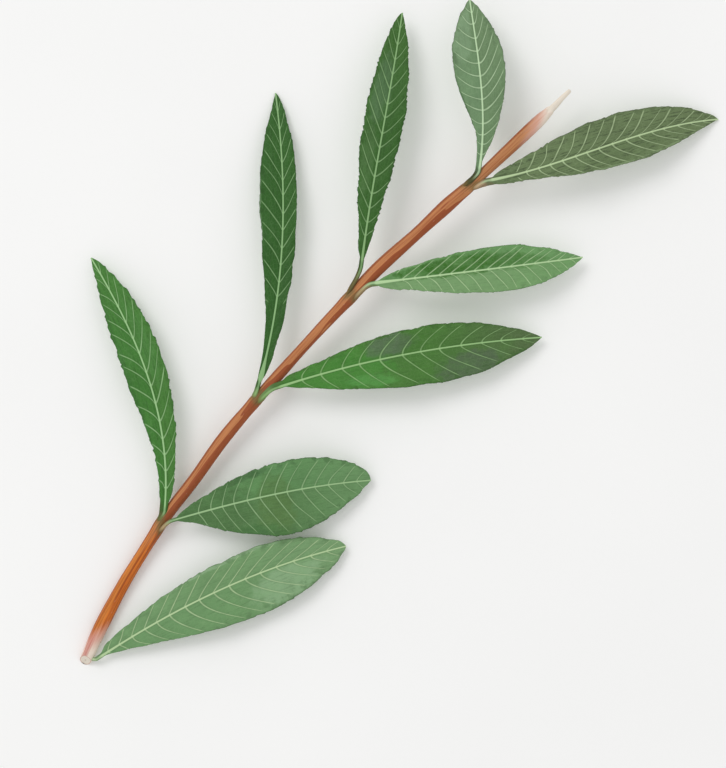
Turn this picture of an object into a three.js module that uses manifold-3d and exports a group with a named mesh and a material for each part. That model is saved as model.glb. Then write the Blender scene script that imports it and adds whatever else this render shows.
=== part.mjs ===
// A cut willow branch lying on its side: one red-brown twig and the nine leaves that it carries.
// Millimetres, +Z up. +Y runs along the twig from its cut end to its peeled tip, +X to the right of it
// seen from above. z = 0 is the surface that the branch lies on, and the origin is the middle of the
// branch's footprint.
// Twig and leaf measures are taken from the cut end: x across, y along, z up.
import * as THREE from "three";
import { mergeVertices } from "three/addons/utils/BufferGeometryUtils.js";
import Module from "manifold-3d";

const wasm = await Module();
wasm.setup();

// Where the cut end stands in the part's frame.
const CUT_END = [19.9, -139.0];

// The twig: its centreline, and how thick the bark and the peeled wood at the tip are.
const TWIG_LINE = [
  [0.4, -1.5, 1.62],
  [-3.9, 13, 1.68],
  [-8.5, 37.5, 2.9],
  [-11.8, 71, 5.2],
  [-13.0, 108, 7.8],
  [-11.5, 145, 10.0],
  [-8.4, 181, 11.6],
  [-4.3, 215, 12.6],
  [0.0, 253, 13.2],
];
const TWIG_RADIUS = 1.95;
const TWIG_THINNING = 0.1; // how much thinner the twig is at its tip than at its cut end
const CUT_SLANT = 0.8; // how far the cut runs along the twig for each millimetre of its height
const BARK_END = 243.5; // beyond this the bark is gone and the wood stands out bare
const BARK_EDGE = 1.2;
const WOOD_RADIUS = 1.2;
const WOOD_TIP_RADIUS = 0.75;
const TWIG_SIDES = 12;
const BARK_RINGS = 58;
const WOOD_RINGS = 3;

// The cushion that each leaf stalk grows from.
const CUSHION_HEIGHT = 0.6;
const CUSHION_LENGTH = 4;
const CUSHION_SHARPNESS = 2;

// What all leaves share.
const BLADE_THICKNESS = 0.62;
const STALK_GAP = 0.3; // between a stalk and the bark that it grows from
const STALK_RADIUS = 0.95;
const STALK_FOOT_RADIUS = 1.3;
const STALK_ROOT = 0.35; // where the stalk starts, as a share of the twig's radius from its middle
const STALK_RINGS = 6;
const RIB_RADIUS_AT_TIP = 0.32;
const RIB_DEPTH = 0.75; // how far the midrib stands out below, as a share of its half width
const RIB_RISE = 0.2; // and above
const STALK_TO_BLADE = 0.07; // the share of the blade in which the round stalk turns flat
const BLADE_ROWS = 40;
const ROWS_PER_TOOTH = 2;
const ROWS_PER_VEIN = 4;
const TOOTHED_FROM = 1.2; // teeth and veins start where half the blade is this wide
const TOOTHED_FULLY = 4.2;
const TOOTH_DEPTH = 0.26;
const TOOTH_LEAN = 0.7; // how far a tooth's point leans towards the tip
const VEIN_RISE = 0.2;
const VEIN_FADE = 0.8; // the share of its height that a side vein has lost at the margin
const ROW_GATHER = 6; // how suddenly the rows stop running forward near the tip
const NARROWEST_MARGIN = 1.02; // the margin's least distance from the rib's middle, in rib half widths
const MID_COLUMN = 0.52;
const VEIN_CURVE = 1.3; // side veins leave the rib steeply, then bend towards the tip
const FOLD_EASE = 0.35; // how much flatter the fold is at the margin than at the rib

// The leaves, counted from the cut end in pairs. The stalk leaves the twig at node, clock degrees above
// its side, first running along the twig as far as clasp says; base is where it turns into the blade.
// bow is the midrib's bend to the right, skewed towards the stalk (-) or the tip (+). left and right
// are each half's greatest width, the place of that, and the powers of its two ends; slant is how far
// their veins run forward for each millimetre outwards. heights are those of the blade's base and tip.
const LEAVES = [
  {
    name: "leaf_1_right", node: 2.6, clock: 8, clasp: 0.25, base: [3.1, 4.2], tip: [42.3, 86.9],
    bow: -4.1, skew: 0.1, left: [8.9, 0.68, 0.68, 0.6], right: [13.2, 0.63, 1.1, 0.68],
    slant: [1.1, 0.95], heights: [2.9, 2.6], arch: 3.2, fold: 7, roll: -3, wave: 0.7, waves: 2.5,
    color: 0x75996a,
  },
  {
    name: "leaf_2_left", node: 50.5, clock: 30, clasp: 0.6, base: [-13.9, 58.6], tip: [-86.9, 105.4],
    bow: 6.9, skew: -0.2, left: [7.3, 0.55, 1.15, 0.85], right: [7.0, 0.62, 0.75, 0.68],
    slant: [1.0, 1.2], heights: [6.0, 3.0], arch: 3.6, fold: 11, roll: 5, wave: 0.8, waves: 3,
    color: 0x4b7e3b,
  },
  {
    name: "leaf_2_right", node: 48.5, clock: 62, clasp: 0.55, base: [-7.3, 57.0], tip: [34.2, 109.4],
    bow: -1.8, skew: 0.2, left: [10.6, 0.63, 0.8, 0.48], right: [14.2, 0.56, 1.1, 0.85],
    slant: [0.75, 0.55], heights: [7.4, 3.0], arch: 2.6, fold: 8, roll: -5, wave: 0.8, waves: 2,
    color: 0x5a7f4e,
  },
  {
    name: "leaf_3_left", node: 101.5, clock: 25, clasp: 0.6, base: [-16.0, 110.5], tip: [-75.6, 188.6],
    bow: 5.1, skew: -0.1, left: [7.9, 0.66, 1.45, 0.93], right: [4.7, 0.68, 0.5, 0.6],
    slant: [0.8, 1.5], heights: [9.6, 0.54], arch: 3.4, fold: 10, roll: 3, wave: 0.6, waves: 3.5,
    color: 0x3b652f,
  },
  {
    name: "leaf_3_right", node: 103.5, clock: 30, clasp: 0.6, base: [-9.2, 114.6], tip: [46.9, 183.9],
    bow: -2.8, skew: -0.05, left: [8.5, 0.58, 0.83, 0.8], right: [11.4, 0.6, 0.82, 0.8],
    slant: [1.0, 1.05], heights: [9.9, 3.4], arch: 3.6, fold: 9, roll: -6, wave: 0.7, waves: 2.5,
    color: 0x4f8140,
  },
  {
    name: "leaf_4_left", node: 152.5, clock: 40, clasp: 0.6, base: [-16.2, 164.2], tip: [-60.2, 236.9],
    bow: -0.15, skew: -4, left: [6.9, 0.56, 0.95, 0.6], right: [6.6, 0.58, 0.9, 0.82],
    slant: [1.3, 1.1], heights: [13.0, 6.0], arch: 3.6, fold: 11, roll: 4, wave: 0.6, waves: 3,
    color: 0x4c7a3f,
  },
  {
    name: "leaf_4_right", node: 148.5, clock: 22, clasp: 0.6, base: [-7.2, 162.0], tip: [39.9, 213.5],
    bow: 0.2, skew: 0, left: [7.4, 0.6, 0.66, 0.92], right: [8.1, 0.64, 0.78, 0.8],
    slant: [1.15, 0.95], heights: [12.6, 4.4], arch: 3.2, fold: 13, roll: 3, wave: 0.6, waves: 2.5,
    color: 0x5f8f4c,
  },
  {
    name: "leaf_5_left", node: 208, clock: 35, clasp: 0.6, base: [-6.9, 214.6], tip: [-45.7, 254.9],
    bow: 1.9, skew: -0.45, left: [8.7, 0.62, 1.6, 0.78], right: [8.7, 0.6, 1.0, 0.85],
    slant: [0.55, 0.85], heights: [14.6, 10.0], arch: 2.6, fold: 9, roll: 4, wave: 0.7, waves: 2,
    color: 0x6f9068,
  },
  {
    name: "leaf_5_right", node: 206.5, clock: 18, clasp: 0.6, base: [-0.2, 213.4], tip: [44.6, 279.2],
    bow: -0.9, skew: 2.8, left: [9.4, 0.54, 0.78, 0.68], right: [8.0, 0.62, 1.1, 0.97],
    slant: [0.9, 1.1], heights: [13.8, 0.51], arch: 4.6, fold: 9, roll: 2, wave: 0.6, waves: 3,
    color: 0x697d54,
  },
];

const BARK_COLOR = 0xa8653f;
const UP = new THREE.Vector3(0, 0, 1);
const twigLine = new THREE.CatmullRomCurve3(
  TWIG_LINE.map((p) => new THREE.Vector3(...p)),
  false,
  "catmullrom",
);

const mix = (a, b, t) => a + (b - a) * t;
const smooth = (t) => {
  const c = THREE.MathUtils.clamp(t, 0, 1);
  return c * c * (3 - 2 * c);
};

// The directions of a section that crosses a line: ahead along it, level to its right, and up.
function sectionFrame(ahead, roll = 0) {
  const right = new THREE.Vector3().crossVectors(ahead, UP).normalize();
  const up = new THREE.Vector3().crossVectors(right, ahead).normalize();
  return {
    right: right.clone().multiplyScalar(Math.cos(roll)).addScaledVector(up, Math.sin(roll)),
    up: up.clone().multiplyScalar(Math.cos(roll)).addScaledVector(right, -Math.sin(roll)),
  };
}

// A closed skin over rings of points, all with the same count and running clockwise seen from behind.
// The two halves of a ring are split into triangles the opposite way, so that a blade's faces match.
function skinOf(rings) {
  const count = rings[0].length;
  const points = rings.flat();
  const index = [];
  for (let i = 0; i + 1 < rings.length; i++)
    for (let k = 0; k < count; k++) {
      const a = i * count + k;
      const b = i * count + ((k + 1) % count);
      if (k < count / 2) index.push(a, b, a + count, b, b + count, a + count);
      else index.push(a, b, b + count, a, b + count, a + count);
    }
  for (const [ring, turn] of [[0, 1], [rings.length - 1, -1]]) {
    const first = ring * count;
    const middle = points.length;
    points.push(rings[ring].reduce((s, p) => s.add(p), new THREE.Vector3()).divideScalar(count));
    for (let k = 0; k < count; k++) {
      const a = first + k;
      const b = first + ((k + 1) % count);
      index.push(middle, ...(turn > 0 ? [b, a] : [a, b]));
    }
  }
  return new THREE.BufferGeometry().setFromPoints(points).setIndex(index);
}

function solidOf(geometry) {
  const bare = geometry.clone();
  bare.deleteAttribute("normal");
  bare.deleteAttribute("uv");
  const merged = mergeVertices(bare, 1e-4);
  return new wasm.Manifold(
    new wasm.Mesh({
      numProp: 3,
      vertProperties: merged.attributes.position.array,
      triVerts: new Uint32Array(merged.index.array),
    }),
  );
}

function geometryOf(solid) {
  const mesh = solid.getMesh();
  return new THREE.BufferGeometry()
    .setAttribute("position", new THREE.BufferAttribute(mesh.vertProperties, 3))
    .setIndex(new THREE.BufferAttribute(mesh.triVerts, 1));
}

// The point of the twig's centreline that lies y millimetres from the cut end, found by halving.
function twigAt(y) {
  let low = 0;
  let high = 1;
  for (let i = 0; i < 30; i++) {
    const middle = (low + high) / 2;
    if (twigLine.getPoint(middle).y < y) low = middle;
    else high = middle;
  }
  return { point: twigLine.getPoint(low), ahead: twigLine.getTangent(low) };
}

// The twig's radius at y, facing the angle around it that starts on the right and passes the top.
function twigRadius(y, angle) {
  const bark = TWIG_RADIUS - (TWIG_THINNING * y) / BARK_END;
  const bareness = smooth((y - BARK_END) / BARK_EDGE);
  const end = TWIG_LINE.at(-1)[1];
  const wood = mix(WOOD_RADIUS, WOOD_TIP_RADIUS, Math.max(0, (y - BARK_END) / (end - BARK_END)));
  let cushions = 0;
  for (const leaf of LEAVES) {
    const along = (y - leaf.node - CUSHION_LENGTH / 2) / CUSHION_LENGTH;
    const facing = Math.max(0, Math.cos(angle - stalkAngle(leaf)));
    cushions += CUSHION_HEIGHT * Math.exp(-CUSHION_SHARPNESS * along * along) * facing * facing;
  }
  return mix(bark + cushions, wood, bareness);
}

// The angle around the twig at which a leaf's stalk leaves it.
function stalkAngle(leaf) {
  const clock = THREE.MathUtils.degToRad(leaf.clock);
  return leaf.name.endsWith("left") ? Math.PI - clock : clock;
}

// The twig is round rings on its centreline. The first ring leans with the slanting cut, and the
// underside near the cut end is pressed flat at z = 0, where it rests. With extra, the twig is that
// much thicker all round and its cut is straight.
function twigGeometry(extra = 0) {
  const start = TWIG_LINE[0][1];
  const end = TWIG_LINE.at(-1)[1];
  const stations = extra ? [start - extra] : [];
  for (let i = 0; i <= BARK_RINGS; i++) stations.push(mix(start, BARK_END, i / BARK_RINGS));
  for (let i = 0; i <= WOOD_RINGS; i++)
    stations.push(mix(BARK_END + BARK_EDGE, end + extra, i / WOOD_RINGS));
  const rings = [];
  for (const [i, y] of stations.entries()) {
    const { point, ahead } = twigAt(THREE.MathUtils.clamp(y, start, end));
    const { right, up } = sectionFrame(ahead);
    const slant = extra ? 0 : CUT_SLANT * Math.max(0, 1 - i / 2);
    const ring = [];
    for (let k = 0; k < TWIG_SIDES; k++) {
      const angle = Math.PI / 2 - (2 * Math.PI * k) / TWIG_SIDES;
      const radius = twigRadius(y, angle) + extra;
      const rise = radius * Math.sin(angle);
      const place = point.clone().addScaledVector(ahead, y - point.y + slant * (rise + radius));
      place.addScaledVector(right, radius * Math.cos(angle)).addScaledVector(up, rise);
      if (!extra) place.z = Math.max(place.z, 0);
      ring.push(place);
    }
    rings.push(ring);
  }
  return skinOf(rings);
}

// A leaf's midrib seen from above is its chord with a sideways bow; from the side it is an arch.
function midribOf(leaf) {
  const base = new THREE.Vector2(...leaf.base);
  const chord = new THREE.Vector2(...leaf.tip).sub(base);
  const length = chord.length();
  chord.normalize();
  const right = new THREE.Vector2(chord.y, -chord.x);
  const [low, high] = leaf.heights;
  const bowAt = (u) => leaf.bow * 4 * u * (1 - u) * (1 + leaf.skew * (2 * u - 1));
  const at = (u) =>
    new THREE.Vector3(
      base.x + chord.x * length * u + right.x * bowAt(u),
      base.y + chord.y * length * u + right.y * bowAt(u),
      mix(low, high, u) + leaf.arch * 4 * u * (1 - u),
    );
  const STEP = 1e-3;
  const aheadAt = (u) => at(u + STEP).sub(at(u - STEP)).normalize();
  return { length, at, aheadAt };
}

// A half blade's width at u rises from the stalk as a quarter of a sine to its widest place, and falls
// to the tip as a quarter of a cosine; each quarter's power makes it fuller (< 1) or slimmer (> 1).
function halfWidth([widest, place, stalkPower, tipPower], u) {
  const quarter = Math.PI / 2;
  if (u <= 0 || u >= 1) return 0;
  if (u < place) return widest * Math.sin((quarter * u) / place) ** stalkPower;
  return widest * Math.cos((quarter * (u - place)) / (1 - place)) ** tipPower;
}

const ribRadius = (u) => mix(STALK_RADIUS, RIB_RADIUS_AT_TIP, Math.sqrt(Math.max(0, u)));

// The columns of a section from the left margin to the right one: which half, and how far out
// between the rib's flank (0) and the margin (1). The rib's own middle has no half.
const COLUMNS = [
  { half: 0, out: 1 }, { half: 0, out: MID_COLUMN }, { half: 0, out: 0 }, { half: null },
  { half: 1, out: 0 }, { half: 1, out: MID_COLUMN }, { half: 1, out: 1 },
];

// One point of the blade's row s, column and face (1 above, -1 below). A row follows its side vein:
// it leaves the rib at s and reaches the margin further on, at a tooth's point or notch.
function bladePoint(leaf, midrib, row, column, face) {
  const s = row / BLADE_ROWS;
  let u = s;
  let y = 0;
  let rise = face > 0 ? RIB_RISE : -RIB_DEPTH * ribRadius(u);
  let outness = 0;
  if (column.half !== null) {
    const { half, out } = column;
    const side = half === 0 ? -1 : 1;
    const outline = half === 0 ? leaf.left : leaf.right;
    const run = (leaf.slant[half] * halfWidth(outline, s) * (1 - s ** ROW_GATHER)) / midrib.length;
    const marginWidth = halfWidth(outline, Math.min(1, s + run));
    const toothed = smooth((marginWidth - TOOTHED_FROM) / (TOOTHED_FULLY - TOOTHED_FROM));
    const point = row % ROWS_PER_TOOTH === 1;
    u = s + run * Math.pow(out, VEIN_CURVE);
    if (out === 1 && point) u += (TOOTH_LEAN * toothed) / midrib.length;
    u = Math.min(u, 1);
    const flank = ribRadius(u);
    const tooth = (point ? TOOTH_DEPTH : -TOOTH_DEPTH) * toothed;
    const margin = Math.max(flank * NARROWEST_MARGIN, marginWidth + tooth);
    y = side * mix(flank, margin, out);
    outness = mix(flank, margin, out) / outline[0];
    const onVein = row % ROWS_PER_VEIN === (half === 0 ? 1 : 3);
    rise = onVein ? face * VEIN_RISE * toothed * (1 - VEIN_FADE * out) : 0;
  }
  const edge = Math.abs(y);
  const fold = Math.tan(THREE.MathUtils.degToRad(leaf.fold)) * edge * (1 - FOLD_EASE * outness);
  const wave =
    leaf.wave * Math.sin(2 * Math.PI * leaf.waves * u + Math.sign(y)) * outness ** 2 * Math.sin(Math.PI * u);
  const lift = fold + wave + (face * BLADE_THICKNESS) / 2 + rise;
  return { u, y, lift };
}

// The leaf is one skin: round rings along the stalk, then the blade's rows, out to the tip.
function leafGeometry(leaf) {
  const midrib = midribOf(leaf);
  const roll = THREE.MathUtils.degToRad(leaf.roll);
  const count = 2 * COLUMNS.length;
  const round = (k, radius) => {
    const angle = Math.PI - ((k + 0.5) * 2 * Math.PI) / count;
    return { y: radius * Math.cos(angle), lift: radius * Math.sin(angle) };
  };

  const { point: axis, ahead: alongTwig } = twigAt(leaf.node);
  const twig = sectionFrame(alongTwig);
  const angle = stalkAngle(leaf);
  const outwards = twig.right.clone().multiplyScalar(Math.cos(angle));
  outwards.addScaledVector(twig.up, Math.sin(angle));
  const foot = axis.clone().addScaledVector(outwards, STALK_ROOT * TWIG_RADIUS);
  const head = midrib.at(0);
  const reach = foot.distanceTo(head);
  const leaving = alongTwig.clone().multiplyScalar(reach * leaf.clasp);
  leaving.addScaledVector(outwards, reach * (1 - leaf.clasp));
  const arriving = midrib.aheadAt(0).multiplyScalar(reach);
  const stalkAt = (t) => {
    const t2 = t * t;
    const t3 = t2 * t;
    return foot.clone().multiplyScalar(2 * t3 - 3 * t2 + 1)
      .addScaledVector(leaving, t3 - 2 * t2 + t)
      .addScaledVector(head, -2 * t3 + 3 * t2)
      .addScaledVector(arriving, t3 - t2);
  };

  const rings = [];
  for (let i = 0; i < STALK_RINGS; i++) {
    const t = i / STALK_RINGS;
    const ahead = stalkAt(t + 1e-3).sub(stalkAt(t)).normalize();
    const { right, up } = sectionFrame(ahead, roll * t);
    const radius = mix(STALK_FOOT_RADIUS, STALK_RADIUS, t);
    rings.push(
      Array.from({ length: count }, (_, k) => {
        const { y, lift } = round(k, radius);
        return stalkAt(t).addScaledVector(right, y).addScaledVector(up, lift);
      }),
    );
  }
  for (let row = 0; row <= BLADE_ROWS; row++) {
    const flatness = smooth(row / BLADE_ROWS / STALK_TO_BLADE);
    const ring = [];
    for (let k = 0; k < count; k++) {
      const above = k < COLUMNS.length;
      const column = COLUMNS[above ? k : count - 1 - k];
      const flat = bladePoint(leaf, midrib, row, column, above ? 1 : -1);
      const tube = round(k, ribRadius(flat.u));
      const { right, up } = sectionFrame(midrib.aheadAt(flat.u), roll);
      ring.push(
        midrib.at(flat.u)
          .addScaledVector(right, mix(tube.y, flat.y, flatness))
          .addScaledVector(up, mix(tube.lift, flat.lift, flatness)),
      );
    }
    rings.push(ring);
  }
  return skinOf(rings);
}

const clearTwig = solidOf(twigGeometry(STALK_GAP));

function twigMesh() {
  const bark = new THREE.MeshStandardMaterial({ color: BARK_COLOR, roughness: 0.62, metalness: 0 });
  const mesh = new THREE.Mesh(twigGeometry(), bark);
  mesh.name = "twig";
  return mesh;
}

// A leaf's stalk starts inside the twig, and what would lie in the bark or too near it is cut away.
function leafMesh(leaf) {
  const green = new THREE.MeshStandardMaterial({ color: leaf.color, roughness: 0.5, metalness: 0 });
  const geometry = geometryOf(solidOf(leafGeometry(leaf)).subtract(clearTwig));
  const mesh = new THREE.Mesh(geometry, green);
  mesh.name = leaf.name;
  return mesh;
}

const branch = new THREE.Group();
branch.name = "willow_branch";
branch.add(twigMesh(), ...LEAVES.map(leafMesh));
branch.position.set(...CUT_END, 0);

export default branch;
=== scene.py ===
"""A cut willow branch lying on a pale floor: one red-brown twig and the nine toothed, veined leaves on it.

Metres, +Z up. +Y runs along the twig from its cut end to its peeled tip, +X to the right of it seen from
above. The tables below are in millimetres, counted from the twig's cut end: x across, y along, z up.
"""

import math

import bpy
import numpy as np
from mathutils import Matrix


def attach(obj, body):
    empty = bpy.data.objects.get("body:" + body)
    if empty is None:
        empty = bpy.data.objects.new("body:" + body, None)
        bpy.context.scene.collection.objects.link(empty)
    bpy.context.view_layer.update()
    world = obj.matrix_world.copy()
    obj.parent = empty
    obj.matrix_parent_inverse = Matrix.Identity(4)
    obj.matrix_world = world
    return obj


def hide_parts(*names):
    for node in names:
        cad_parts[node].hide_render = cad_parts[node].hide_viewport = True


bl_info = {
    "name": "Willow branch",
    "version": (1, 0, 0),
    "blender": (4, 5, 0),
    "location": "3D View > Sidebar > Willow",
    "description": "A cut willow branch with toothed, veined leaves, lying on a pale floor",
    "category": "Add Mesh",
}

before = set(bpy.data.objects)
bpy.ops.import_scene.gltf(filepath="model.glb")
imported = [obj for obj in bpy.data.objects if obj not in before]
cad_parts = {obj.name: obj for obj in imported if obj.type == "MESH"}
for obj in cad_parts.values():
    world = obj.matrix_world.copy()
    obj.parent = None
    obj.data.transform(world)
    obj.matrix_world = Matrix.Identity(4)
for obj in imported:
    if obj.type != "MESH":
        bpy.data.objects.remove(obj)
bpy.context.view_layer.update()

MM = 0.001
UP = np.array([0.0, 0.0, 1.0])
CUT_END = np.array([19.9, -139.0, 0.0])  # where the cut end stands in the part's frame
NEARBY = 1e-3  # the step between two points whose difference gives a line's direction
TINY = 1e-9  # keeps a division away from zero

# The twig's centreline, and by how much the bark swells sideways there.
TWIG_LINE = np.array(
    [
        [0.4, -1.5, 1.62, 0.0],
        [-3.5, 13.0, 1.68, 0.5],
        [-6.6, 27.0, 2.15, 0.2],
        [-8.4, 38.0, 2.9, 0.0],
        [-10.7, 55.0, 4.05, 0.1],
        [-11.5, 71.0, 5.2, 0.15],
        [-13.0, 90.0, 6.55, 0.28],
        [-12.75, 115.0, 8.2, 0.05],
        [-12.15, 135.0, 9.4, 0.0],
        [-11.35, 150.0, 10.25, 0.2],
        [-10.3, 166.0, 11.0, 0.48],
        [-8.0, 183.0, 11.68, 0.2],
        [-6.3, 197.0, 12.15, 0.5],
        [-4.4, 210.0, 12.5, -0.05],
        [-1.7, 234.0, 12.9, 0.3],
        [-0.65, 244.0, 13.07, 0.0],
        [0.0, 253.0, 13.2, 0.0],
    ]
)
TWIG_SEED = 11
TWIG_SIDES = 56
BARK_ROWS = 540
WOOD_ROWS = 90
FINE_STRETCH = 3.0  # how far before the bark's end the rings begin to stand closer
TWIG_THINNING = 0.1
SWELL_HEIGHT = 0.4  # how much of its swelling sideways the bark also has in height
BARK_WANDER = 0.04
CUSHION_HEIGHT = 0.35
CUSHION_LENGTH = 4.0
CUT_INSET = 0.06  # how far past the centreline's start the first ring lies
CUT_SLANT = 0.8
SLANT_REACH = 9.0  # how far along the twig the rings still lean with the cut
BARK_END = 243.5
END_TAPER = 0.16  # the share of its radius that the bark loses over its last stretch
END_STRETCH = 4.0
WOOD_RADII = (1.25, 0.65)
WOOD_ROUNDING = 0.35
CLOSING = np.array([0.03, 0.35, 0.6, 0.8, 0.93])  # the rings that close an end, as shares of its radius

STALK_ROWS = 40
STALK_ROOT = 0.72  # how far from the twig's middle a stalk starts, as a share of the twig's radius
STALK_POINT = 0.06  # how thick it is there, as a share of its foot
STALK_TAPER = 0.42  # the share of its length over which it grows to its full thickness
TURN_FLAT = 0.022  # the share of the midrib over which the round stalk turns into the flat blade
FOOT_REACH = 0.2  # the share of a blade over which its width at the stalk fades
RIB_END = 0.26  # half the midrib's width at the tip
RIB_RISE = 0.24
RIB_DROP = 0.75
RIDGE_WIDTH = 0.2  # of a vein's ridge, from its middle
FINE_TOOTH = 0.36  # the fine teeth's size, as a share of the coarse ones'
TEETH_DRAWN = 120  # how many teeth get a height of their own
RUN_LIMIT = 0.7  # how much of what is left of the midrib a side vein runs forward at most
VEIN_WANDER = 0.07
MARGIN_WANDER = 0.14
ROW_SWAY = 0.22
CURL = 0.14
LEAF_SEED = 1000
PER_VEIN = 20  # rows of points from one side vein to the next
GATHER = 0.62  # how strongly the rows gather at the veins
RIB_COLUMNS = np.array([-0.85, -0.6, -0.3, 0.0, 0.3, 0.6, 0.85])
BLADE_COLUMNS = 1 - (1 - np.linspace(0, 1, 29)) ** 1.25

# The leaves. The stalk leaves the twig at node, clock degrees above its side and foot thick each way,
# first running along the twig as far as clasp says, and turns into the blade at base, which runs down it
# by down. bow is the midrib's bend to the right, skewed towards the stalk (-) or the tip (+). left and
# right are each half's greatest width, the place of that, the powers of its two ends, and its width at
# the stalk. heights are those of the blade's base and tip, and arch is how far it rises between them.
# fold and roll are angles, wave and waves the height and number of its waves. veins is the number of
# side veins that would fit from base to tip, crowd above 1 sets them closer near the stalk, first is the
# share of the midrib before the lowest, and rib is half the midrib's painted width at the stalk. tooth is
# the teeth's pitch and height. left_vein and right_vein are how far a vein runs forward for each
# millimetre outwards, near the stalk and near the tip, and the power of its curve.
LEAVES = {
    "leaf_1_right": dict(
        node=1.4, clock=14, foot=0.9, clasp=0.2, base=(3.1, 4.2), down=1.2, tip=(42.3, 86.9),
        bow=-4.1, skew=0.1,
        left=(8.9, 0.68, 0.68, 0.6, 0.9), right=(13.2, 0.63, 1.1, 0.68, 0.0),
        heights=(2.9, 2.6), arch=3.2, fold=7, roll=-3, wave=0.7, waves=2.5,
        veins=17, crowd=1.14, first=0.03, rib=0.42, tooth=(5.0, 0.45),
        left_vein=(1.25, 1.9, 1.0), right_vein=(0.95, 1.4, 1.6),
    ),
    "leaf_2_left": dict(
        node=51.8, clock=48, foot=1.3, clasp=0.6, base=(-13.9, 58.6), down=2.4, tip=(-86.9, 105.4),
        bow=6.9, skew=-0.2,
        left=(7.3, 0.55, 1.15, 0.85, 1.8), right=(7.0, 0.62, 0.75, 0.68, 1.1),
        heights=(6.0, 3.0), arch=3.6, fold=11, roll=5, wave=0.8, waves=3,
        veins=15, crowd=1.05, first=0.04, rib=0.3, tooth=(4.6, 0.75),
        left_vein=(1.2, 1.5, 0.7), right_vein=(1.9, 1.8, 1.2),
    ),
    "leaf_2_right": dict(
        node=49.0, clock=58, foot=0.65, clasp=0.55, base=(-7.3, 57.0), down=1.6, tip=(34.2, 109.4),
        bow=-1.8, skew=0.2,
        left=(10.6, 0.63, 0.8, 0.48, 0.5), right=(14.2, 0.56, 1.1, 0.85, 0.7),
        heights=(7.4, 3.0), arch=2.6, fold=8, roll=-5, wave=0.8, waves=2,
        veins=15, crowd=1.08, first=0.08, rib=0.26, tooth=(4.2, 0.55),
        left_vein=(0.6, 0.75, 1.3), right_vein=(0.55, 0.62, 1.3),
    ),
    "leaf_3_left": dict(
        node=104.6, clock=50, foot=1.35, clasp=0.6, base=(-16.0, 110.5), down=1.5, tip=(-75.6, 188.6),
        bow=5.1, skew=-0.1,
        left=(7.9, 0.66, 1.45, 0.93, 1.0), right=(4.7, 0.68, 0.5, 0.6, 0.1),
        heights=(9.6, 0.54), arch=3.4, fold=10, roll=3, wave=0.6, waves=3.5,
        veins=17, crowd=1.0, first=0.27, rib=0.95, tooth=(3.4, 0.28),
        left_vein=(1.4, 1.5, 0.8), right_vein=(1.6, 1.8, 1.1),
    ),
    "leaf_3_right": dict(
        node=104.2, clock=58, foot=1.5, clasp=0.6, base=(-9.2, 114.6), down=2.5, tip=(46.9, 183.9),
        bow=-2.8, skew=-0.05,
        left=(8.5, 0.58, 0.83, 0.8, 1.8), right=(11.4, 0.6, 0.82, 0.8, 0.0),
        heights=(9.9, 3.4), arch=3.6, fold=9, roll=-6, wave=0.7, waves=2.5,
        veins=13, crowd=1.0, first=0.06, rib=0.42, tooth=(3.2, 0.3),
        left_vein=(1.15, 1.2, 1.5), right_vein=(1.0, 1.4, 1.3),
    ),
    "leaf_4_left": dict(
        node=150.7, clock=48, foot=0.9, clasp=0.6, base=(-16.2, 164.2), down=1.5, tip=(-60.2, 236.9),
        bow=-0.15, skew=-4,
        left=(6.9, 0.56, 0.95, 0.6, 0.95), right=(6.6, 0.58, 0.9, 0.82, 0.45),
        heights=(13.0, 6.0), arch=3.6, fold=11, roll=4, wave=0.6, waves=3,
        veins=17, crowd=1.06, first=0.07, rib=0.42, tooth=(2.4, 0.6),
        left_vein=(2.1, 1.3, 1.1), right_vein=(1.2, 1.3, 1.3),
    ),
    "leaf_4_right": dict(
        node=151.5, clock=45, foot=1.0, clasp=0.6, base=(-7.2, 162.0), down=2.0, tip=(39.9, 213.5),
        bow=0.2, skew=0,
        left=(7.4, 0.6, 0.66, 0.92, 0.25), right=(8.1, 0.64, 0.78, 0.8, 1.2),
        heights=(12.6, 4.4), arch=3.2, fold=13, roll=3, wave=0.6, waves=2.5,
        veins=17, crowd=1.0, first=0.09, rib=0.55, tooth=(2.6, 0.35),
        left_vein=(2.1, 0.95, 1.0), right_vein=(0.9, 0.6, 0.6),
    ),
    "leaf_5_left": dict(
        node=204.5, clock=50, foot=1.35, clasp=0.55, base=(-6.9, 214.6), down=2.0, tip=(-45.7, 254.9),
        bow=1.9, skew=-0.45,
        left=(8.7, 0.62, 1.6, 0.78, 1.4), right=(8.7, 0.6, 1.0, 0.85, 0.1),
        heights=(14.6, 10.0), arch=2.6, fold=9, roll=4, wave=0.7, waves=2,
        veins=14, crowd=1.12, first=0.05, rib=0.4, tooth=(3.8, 0.45),
        left_vein=(0.6, 0.7, 1.8), right_vein=(1.3, 1.3, 1.5),
    ),
    "leaf_5_right": dict(
        node=206.0, clock=38, foot=0.8, clasp=0.5, base=(-0.2, 213.4), down=1.8, tip=(44.6, 279.2),
        bow=-0.9, skew=2.8,
        left=(9.4, 0.54, 0.78, 0.68, 0.9), right=(8.0, 0.62, 1.1, 0.97, 1.7),
        heights=(13.8, 0.51), arch=4.6, fold=9, roll=2, wave=0.6, waves=3,
        veins=18, crowd=1.08, first=0.1, rib=0.5, tooth=(3.8, 0.4),
        left_vein=(0.95, 1.15, 0.62), right_vein=(1.0, 1.4, 1.5),
    ),
}

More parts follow.
